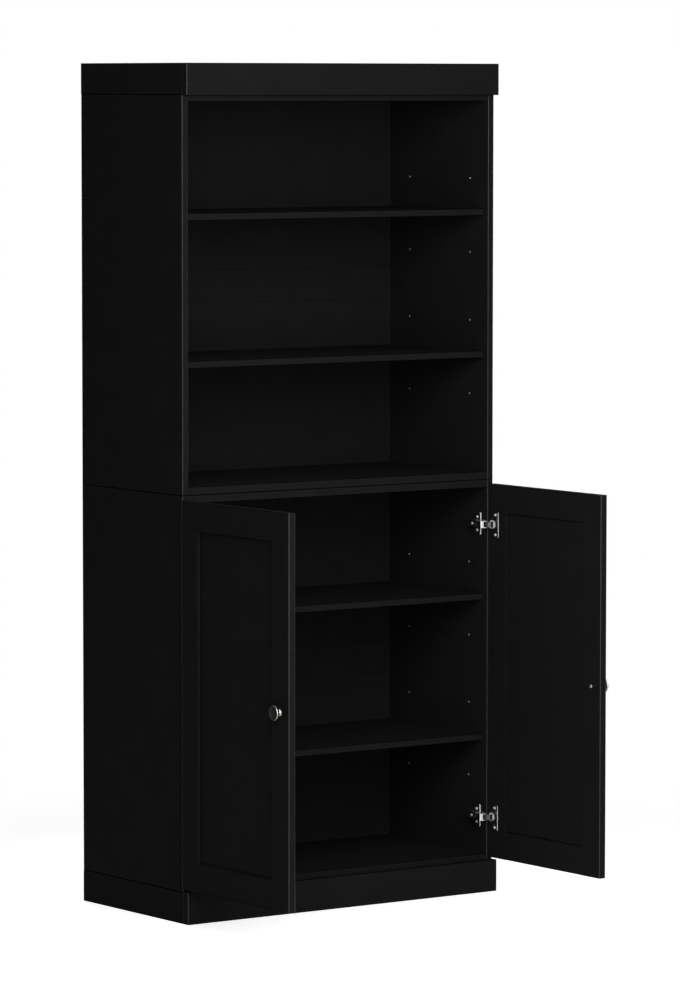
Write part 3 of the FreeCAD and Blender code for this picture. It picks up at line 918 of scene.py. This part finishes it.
@dataclass
class Plinth(FixedBoards):
    """The plinth's laminated boards."""

    boards: tuple[str, ...] = (
        "plinth_front_board",
        "plinth_left_board",
        "plinth_right_board",
        "plinth_rear_board",
    )


@dataclass
class Cap(FixedBoards):
    """The cap's fascia, boards and lid."""

    boards: tuple[str, ...] = (
        "cap_fascia",
        "cap_left_board",
        "cap_right_board",
        "cap_rear_board",
        "cap_lid",
    )


@dataclass
class Carcass:
    """One carcass: sides, fixed panels, back and loose shelves."""

    maker: BoardMaker
    case: Case
    boards: tuple[str, ...] = (
        "left_side",
        "right_side",
        "bottom_panel",
        "top_panel",
        "lower_shelf",
        "upper_shelf",
    )
    backs: tuple[str, ...] = ("back_lower_board", "back_rail", "back_upper_board")

    def build(self) -> None:
        """Dresses the boards; the back's joints stay as plain as its faces."""
        for board in self.boards:
            self.maker.board(f"{self.case.value}_{board}", "carcass")
        for board in self.backs:
            self.maker.board(f"{self.case.value}_{board}", "carcass", plain=lambda face: True)


class KnobSkin(IntEnum):
    """Material slots of a knob."""

    LACQUER = 0
    PLATE = 1


@dataclass
class Knob:
    """A turned knob: base, waisted neck, and a lipped disc with a low dome."""

    finishes: Finishes
    hand: Hand
    steps: int = 96
    foot: Point = (0.4555, -0.6075, 0.5365)  # on the right door; the left one mirrors it
    foot_bevel: float = 0.3 * MM
    base_radius: float = 7.9 * MM
    base_edge: float = 1.8 * MM
    base_hollow: float = 1 / 4  # depth of the curve above the base, to the step there
    base_points: int = 8
    neck_radius: float = 5.7 * MM
    neck_start: float = 6.5 * MM
    neck_end: float = 11.5 * MM
    flare_hollow: float = 1 / 6  # depth of the flare's curve, to the neck's length
    flare_points: int = 10
    disc_radius: float = 18.0 * MM
    disc_back: float = 16.0 * MM
    lip: float = 21.3 * MM
    lip_round: float = 1.8 * MM
    lip_points: int = 12
    dish_radius: float = 14.8 * MM
    dish_depth: float = 1.1 * MM
    height: float = 22.0 * MM
    dome_points: int = 12
    plated_to: float = 7.2 * MM
    lacquer_from: float = 20.4 * MM
    smooth_below: float = 40.0  # degrees
    sort_along: Point = (math.e, 1.0, 1 / math.pi)  # askew, so no two points or faces are level

    @staticmethod
    def _arc(start: Vector, end: Vector, pull: float, count: int) -> list[Vector]:
        """Points between two profile points, pulled sideways at their middle.

        Args:
            start: first point.
            end: last point.
            pull: how far the middle leaves the straight line, to its left.
            count: points added after the first.

        Returns:
            The points, the first left out.
        """
        along = end - start
        aside = Vector((-along.y, along.x)).normalized()
        half = along.length / 2
        radius = (half * half + pull * pull) / (2 * abs(pull))
        turn = 2 * math.asin(min(1.0, half / radius))
        centre = start + along / 2 + aside * (pull - math.copysign(radius, pull))
        first = start - centre
        direction = -math.copysign(turn, pull)
        return [centre + Matrix.Rotation(direction * step / count, 2) @ first for step in range(1, count + 1)]

    def profile(self) -> list[Vector]:
        """Draws half of the knob's section, from the middle of its foot to the middle of its dome.

        Returns:
            Points, each a radius and a height above the door's face.
        """
        base = Vector((self.base_radius, self.base_edge))
        neck = Vector((self.neck_radius, self.neck_start))
        waist = Vector((self.neck_radius, self.neck_end))
        back = Vector((self.disc_radius - self.lip_round, self.disc_back))
        front = Vector((self.disc_radius - self.lip_round, self.lip))
        groove = Vector((self.dish_radius, self.lip - self.dish_depth))
        middle = Vector((0.0, self.height))
        rise = self.height - groove.y
        chord = (middle - groove).length
        dome_radius = (self.dish_radius**2 + rise**2) / (2 * rise)
        dome_pull = dome_radius - math.sqrt(dome_radius**2 - (chord / 2) ** 2)
        base_pull = (self.base_radius - self.neck_radius) * self.base_hollow
        flare_pull = (self.neck_end - self.neck_start) * self.flare_hollow
        points = [Vector((0.0, 0.0)), Vector((self.base_radius - self.foot_bevel, 0.0))]
        points += [Vector((self.base_radius, self.foot_bevel)), base]
        points += self._arc(base, neck, base_pull, self.base_points)
        points.append(waist)
        points += self._arc(waist, back, flare_pull, self.flare_points)
        points += self._arc(back, front, -self.lip_round, self.lip_points)
        points += [front.lerp(groove, 0.5), groove]
        points += self._arc(groove, middle, -dome_pull, self.dome_points)
        points[-1].x = 0.0
        return points

    def _spin(self, foot: Vector, outward: Vector) -> Piece:
        """Draws the outline and spins it.

        Args:
            foot: the middle of the knob's foot.
            outward: the knob's axis, away from the door.

        Returns:
            The piece, still in edit mode.
        """
        bpy.ops.object.select_all(action="DESELECT")
        bpy.ops.mesh.primitive_plane_add(size=MM, location=foot)
        piece = bpy.context.object
        piece.name = f"{self.hand.word}_turned_knob"
        bpy.ops.object.transform_apply(location=True, rotation=True, scale=True)
        bpy.ops.object.mode_set(mode="EDIT")
        bpy.ops.mesh.select_mode(type="VERT")
        bpy.ops.mesh.select_all(action="SELECT")
        bpy.ops.mesh.merge(type="CENTER")
        up = Vector((0.0, 0.0, 1.0))
        here = Vector((0.0, 0.0))
        for there in self.profile()[1:]:
            step = there - here
            move = up * step.x + outward * step.y
            bpy.ops.mesh.extrude_region_move(TRANSFORM_OT_translate={"value": tuple(move)})
            here = there
        bpy.ops.mesh.select_all(action="SELECT")
        bpy.ops.mesh.spin(steps=self.steps, angle=math.tau, center=tuple(foot), axis=tuple(outward))
        bpy.ops.mesh.select_all(action="SELECT")
        bpy.ops.mesh.remove_doubles(threshold=WELD_DISTANCE)
        bpy.ops.mesh.normals_make_consistent(inside=False)
        self._sort(piece)
        return piece

    def _sort(self, piece: Piece) -> None:
        """Puts the points, edges and faces, which a spin adds in any order, in one fixed order.

        Args:
            piece: the knob, in edit mode.
        """

        def reach(point: bmesh.types.BMVert) -> float:
            """How far a point lies along the sorting direction."""
            return sum(place * share for place, share in zip(point.co, self.sort_along))

        mesh = bmesh.from_edit_mesh(piece.data)
        mesh.verts.sort(key=reach)
        for parts in (mesh.edges, mesh.faces):
            parts.sort(key=lambda part: sum(reach(point) for point in part.verts))
        bmesh.update_edit_mesh(piece.data)

    def _dress(self, piece: Piece, foot: Vector, outward: Vector) -> None:
        """Gives the disc's face its lacquer, and the foot and the rim their plate.

        Args:
            piece: the knob, in edit mode.
            foot: the middle of the knob's foot.
            outward: the knob's axis, away from the door.
        """
        piece.data.materials.append(self.finishes.knob_face)
        piece.data.materials.append(self.finishes.knob_rim)
        mesh = bmesh.from_edit_mesh(piece.data)
        for face in mesh.faces:
            out = (face.calc_center_median() - foot).dot(outward)
            away = (face.calc_center_median() - foot - outward * out).length
            on_foot = out < self.plated_to
            on_rim = self.disc_back < out < self.lacquer_from and away > self.dish_radius
            face.material_index = KnobSkin.PLATE if on_foot or on_rim else KnobSkin.LACQUER
        bmesh.update_edit_mesh(piece.data)

    def build(self) -> None:
        """Turns the knob and dresses it."""
        foot = Vector((self.hand.sign * self.foot[0], self.foot[1], self.foot[2]))
        outward = Vector((self.hand.sign, 0.0, 0.0))
        piece = self._spin(foot, outward)
        self._dress(piece, foot, outward)
        Bench.close()
        Bench.shade(piece, self.smooth_below)
        give(piece, f"{self.hand.word}_door", "dark_knob", f"{self.hand.word}_knob")


@dataclass
class Door:
    """A frame door with its knob."""

    maker: BoardMaker
    hand: Hand
    boards: tuple[str, ...] = ("hinge_stile", "free_stile", "bottom_rail", "top_rail", "panel")
    recess: tuple[float, float] = (-0.620, -0.240)  # the Y span that holds the frame's inner edges

    def _in_recess(self, face: Face) -> bool:
        """Whether an upright strip lies where the frame steps down to the panel."""
        low, high = self.recess
        return self.maker.stands(face) and low < face.calc_center_median().y < high

    def build(self) -> None:
        """Dresses the frame and the panel, and turns the knob."""
        door = f"{self.hand.word}_door"
        for board in self.boards:
            self.maker.board(f"{door}_{board}", door, plain=self._in_recess)
        Knob(self.maker.finishes, self.hand).build()


@dataclass
class Hinges:
    """The four concealed hinges: pressed arms, plates and cups, links, and their screws.

    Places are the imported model's, in metres, on the right; the left side mirrors them.
    """

    metal: MetalMaker
    end_heights: tuple[float, float] = (0.18075, 0.89225)  # Z of the lower and the upper hinges
    near: float = 0.06 * MM  # an edge this close to a place is the one meant
    sheet: float = 1.5 * MM
    nose_y: float = -0.2096
    nose_x: float = 0.4110
    nose_bend: float = 3.0 * MM
    nose_outside_strips: int = 8
    nose_inside_strips: int = 6
    cheek_reach: float = 8.3 * MM  # from a hinge's height to its cheeks' folds
    cheek_bend: float = 1.2 * MM
    cheek_strips: int = 4
    web_low_x: float = 0.4212
    rear_y: float = -0.1430
    turned_front: float = -0.45  # Y of the normal of a face turned to the front; such faces get a painted highlight
    straight_front: float = -0.78  # the same, turned nearly straight to it; on the cups these get the painted highlight
    # faces of a cup deeper than this get painted shade
    cup_mouth_x: float = 0.4378
    front_adjuster_y: float = -0.1870
    adjuster_reach: float = 4.0 * MM

    def _runs_up(self, edge: Edge, x: float, y: float) -> bool:
        """Whether an edge stands upright at a place on either side.

        Args:
            edge: the edge.
            x: distance from the centre plane.
            y: its Y.

        Returns:
            True when both ends are there.
        """
        ends = (vert.co for vert in edge.verts)
        return all(abs(abs(end.x) - x) < self.near and abs(end.y - y) < self.near for end in ends)

    def _nose_fold(self, inset: float) -> Callable[[Edge], bool]:
        """Tells the edges of the nose's fold, so far inside its outer skin."""
        return lambda edge: self._runs_up(edge, self.nose_x + inset, self.nose_y + inset)

    def _cheek_fold(self, edge: Edge) -> bool:
        """The folds between the web and the two cheeks.

        Args:
            edge: the edge.

        Returns:
            True for an edge of a fold, the arm's rear end left out.
        """
        ends = [vert.co for vert in edge.verts]
        on_cheek = all(
            any(abs(abs(end.z - height) - self.cheek_reach) < self.near for height in self.end_heights)
            for end in ends
        )
        on_web = all(abs(end.x) < self.web_low_x for end in ends)
        at_rear = all(abs(end.y - self.rear_y) < self.near for end in ends)
        return on_cheek and on_web and not at_rear

    @staticmethod
    def _faces_front(limit: float) -> Callable[[Face], bool]:
        """Tells the faces whose normal has a lower Y than the limit."""
        return lambda face: face.normal.y < limit

    def _cup_painted_shade(self, face: Face) -> bool:
        """Whether a face is a wall or the floor of a cup, below the door's face; these faces get painted
        shade.
        """
        return abs(face.calc_center_median().x) > self.cup_mouth_x

    def _front_adjuster(self, face: Face) -> bool:
        """Whether a face belongs to an arm's front screw.

        Args:
            face: the face.

        Returns:
            True when its middle is near that screw's.
        """
        centre = face.calc_center_median()
        at_front = abs(centre.y - self.front_adjuster_y) < self.adjuster_reach
        return at_front and any(abs(centre.z - height) < self.adjuster_reach for height in self.end_heights)

    def build(self) -> None:
        """Builds every part of the hinges."""
        finishes = self.metal.finishes
        nickel = finishes.nickel
        bends = (
            Rounding(self._nose_fold(0.0), self.nose_bend, self.nose_outside_strips),
            Rounding(self._nose_fold(self.sheet), self.nose_bend - self.sheet, self.nose_inside_strips),
            Rounding(self._cheek_fold, self.cheek_bend, self.cheek_strips),
        )
        # Faces turned to the front get the near-white coat: a painted highlight.
        turned = (Coat(finishes.satin, self._faces_front(self.turned_front)),)
        self.metal.piece("hinge_arms", "carcass", "bright_nickel", nickel, bends, coats=turned)
        self.metal.piece("hinge_mounting_plates", "carcass", "bright_nickel", nickel, coats=turned)
        straight = Coat(finishes.satin, self._faces_front(self.straight_front))
        # Inside the cups, painted shade; faces turned straight to the front, a painted highlight.
        cup = (Coat(finishes.link, self._cup_painted_shade), straight)
        for hand in Hand:
            door, links = f"{hand.word}_door", f"{hand.word}_hinge_links"
            self.metal.piece(f"{hand.word}_hinge_cups", door, "bright_nickel", nickel, coats=cup)
            # The links get the near-black steel: painted shade.
            self.metal.piece(links, links, "bright_nickel", finishes.link)
        zinc = finishes.zinc
        dark = (Coat(finishes.dark_screw, self._front_adjuster),)
        self.metal.piece("hinge_plate_screws", "carcass", "zinc_steel", zinc, soften=False, coats=dark)


@dataclass
class Hardware:
    """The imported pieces' finishes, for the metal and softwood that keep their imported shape."""

    finishes: Finishes

    def build(self) -> None:
        """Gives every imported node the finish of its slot, and the shelf pins a dark one."""
        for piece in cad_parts.values():
            slot = piece.data.materials[0].name.split(".")[0]
            for holder in piece.material_slots:
                holder.material = self.finishes.by_slot[slot]
        for case in Case:
            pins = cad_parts[f"{case.value}_shelf_pins"]
            pins.material_slots[0].material = self.finishes.dark_screw
        log.info("%d packed nodes dressed", len(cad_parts))


# ---- Studio ----
@dataclass(frozen=True)
class Lamp:
    """A soft area lamp."""

    name: str
    place: Point
    target: Point
    width: float
    height: float
    power: float
    spread: float = 180.0

    def build(self) -> None:
        """Hangs the lamp and turns it to its target."""
        data = bpy.data.lights.new(self.name, "AREA")
        data.shape = "RECTANGLE"
        data.size = self.width
        data.size_y = self.height
        data.energy = self.power
        data.spread = math.radians(self.spread)
        lamp = bpy.data.objects.new(self.name, data)
        bpy.context.scene.collection.objects.link(lamp)
        lamp.location = self.place
        lamp.rotation_euler = (Vector(self.target) - Vector(self.place)).to_track_quat("-Z", "Y").to_euler()


@dataclass
class Studio:
    """Camera, lamps, world and floor. Angles are in degrees."""

    camera_place: Point = (-7.10042, -10.16280, 1.95049)
    camera_yaw: float = 35.48
    camera_pitch: float = -4.58
    camera_roll: float = 0.03
    focal_pixels: float = 5188.37
    sensor: float = 36.0
    long_side: int = 1000  # pixels
    sight: float = 200.0
    ambient: float = 0.045
    floor_radius: float = 40.0
    floor_corners: int = 96
    floor_colour: Colour = (0.80, 0.80, 0.80)
    floor_lift: float = 0.72
    shadow_to: float = 0.8  # nearer to the middle than this, the floor keeps its whole shadow
    white_from: float = 2.0  # beyond this it is plain white
    # name, place, target, width, height, power in watts, spread in degrees
    lamps: tuple[Lamp, ...] = (
        Lamp("key", (-0.9, -2.4, 2.4), (0.0, 0.0, 1.4), 1.2, 1.2, 23.0),
        Lamp("front", (-0.5, -3.4, 1.4), (0.0, 0.0, 1.0), 1.2, 1.6, 17.0),
        Lamp("low", (-0.5, -3.6, 0.6), (0.0, 0.0, 0.9), 1.6, 0.9, 7.0),
        Lamp("strip", (-0.6, -1.9, 1.3), (0.0, 0.0, 1.3), 0.5, 2.2, 7.5),
        Lamp("side", (-3.2, -4.0, 2.6), (0.0, 0.0, 1.2), 1.8, 1.8, 58.0),
        Lamp("rear", (1.4, 4.4, 2.0), (0.0, 0.2, 1.25), 2.0, 2.0, 17.0, 55.0),
        Lamp("right", (4.6, 0.6, 1.8), (0.4, 0.0, 1.25), 1.8, 2.0, 15.0, 55.0),
        Lamp("top", (0.0, 0.1, 4.2), (0.0, 0.0, 2.0), 1.0, 0.6, 3.0, 40.0),
    )

    def build(self) -> None:
        """Sets up the whole studio."""
        self._camera()
        for lamp in self.lamps:
            lamp.build()
        self._world()
        self._floor()
        bpy.context.scene.view_settings.view_transform = "Standard"

    def _camera(self) -> None:
        """Places the camera."""
        data = bpy.data.cameras.new("camera")
        data.sensor_fit = "AUTO"
        data.sensor_width = self.sensor
        data.lens = self.focal_pixels * self.sensor / self.long_side
        data.clip_end = self.sight
        camera = bpy.data.objects.new("camera", data)
        bpy.context.scene.collection.objects.link(camera)
        turn = Matrix.Rotation(math.radians(-self.camera_yaw), 4, "Z")
        # An unturned camera looks straight down, so a level one is tilted by 90 degrees.
        tilt = Matrix.Rotation(math.radians(90.0 + self.camera_pitch), 4, "X")
        roll = Matrix.Rotation(math.radians(self.camera_roll), 4, "Z")
        camera.matrix_world = Matrix.Translation(self.camera_place) @ turn @ tilt @ roll
        bpy.context.scene.camera = camera

    @staticmethod
    def _seen(shader: Shader) -> Wire:
        """Tells the rays that show the background: camera, glossy and transmission rays.

        Args:
            shader: the nodes to build in.

        Returns:
            1 for such a ray, 0 for the others.
        """
        seen = shader.node("ShaderNodeLightPath", output="Is Camera Ray")
        glossy = shader.node("ShaderNodeLightPath", output="Is Glossy Ray")
        through = shader.node("ShaderNodeLightPath", output="Is Transmission Ray")
        return seen.at_least(glossy).at_least(through)

    def _world(self) -> None:
        """White to the camera and in gloss, a low even light for the rest."""
        world = bpy.data.worlds.new("studio")
        bpy.context.scene.world = world
        world.use_nodes = True
        shader = Shader(world.node_tree)
        seen = self._seen(shader)
        strength = seen * (1.0 - self.ambient) + self.ambient
        light = shader.node("ShaderNodeBackground", {}, {"Color": WHITE, "Strength": strength})
        shader.node("ShaderNodeOutputWorld", {}, {"Surface": light})

    def _floor(self) -> None:
        """A pale floor that keeps the shadow and runs out to white."""
        bpy.ops.object.select_all(action="DESELECT")
        bpy.ops.mesh.primitive_circle_add(
            vertices=self.floor_corners, radius=self.floor_radius, fill_type="NGON"
        )
        floor = bpy.context.object
        floor.name = "studio_floor"
        material = bpy.data.materials.new("pale_floor")
        material.use_nodes = True
        shader = Shader(material.node_tree)
        seen = self._seen(shader)
        place = shader.place()
        distance = shader.node("ShaderNodeVectorMath", {"operation": "LENGTH"}, {0: place}, "Value")
        far = shader.node(
            "ShaderNodeMapRange",
            {"interpolation_type": "SMOOTHSTEP"},
            {"Value": distance, "From Min": self.shadow_to, "From Max": self.white_from},
        )
        paper = shader.node("ShaderNodeBsdfDiffuse", {}, {"Color": (*self.floor_colour, 1.0)})
        lift = shader.node("ShaderNodeEmission", {}, {"Color": WHITE, "Strength": seen * self.floor_lift})
        lit = shader.node("ShaderNodeAddShader", {}, {0: paper, 1: lift})
        white = shader.node("ShaderNodeEmission", {}, {"Color": WHITE})
        mixed = shader.node("ShaderNodeMixShader", {}, {0: far * seen, 1: lit, 2: white})
        shader.node("ShaderNodeOutputMaterial", {}, {"Surface": mixed})
        floor.data.materials.append(material)


def main() -> None:
    """Builds the bookcase's looks, one sub-assembly after another."""
    logging.basicConfig(level=logging.INFO, format="%(message)s")
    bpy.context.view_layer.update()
    finishes = Finishes()
    maker = BoardMaker(finishes)
    Hardware(finishes).build()
    Plinth(maker).build()
    for case in Case:
        Carcass(maker, case).build()
    Cap(maker).build()
    for hand in Hand:
        Door(maker, hand).build()
    Hinges(MetalMaker(finishes)).build()
    Studio().build()


if __name__ == "__main__":
    main()
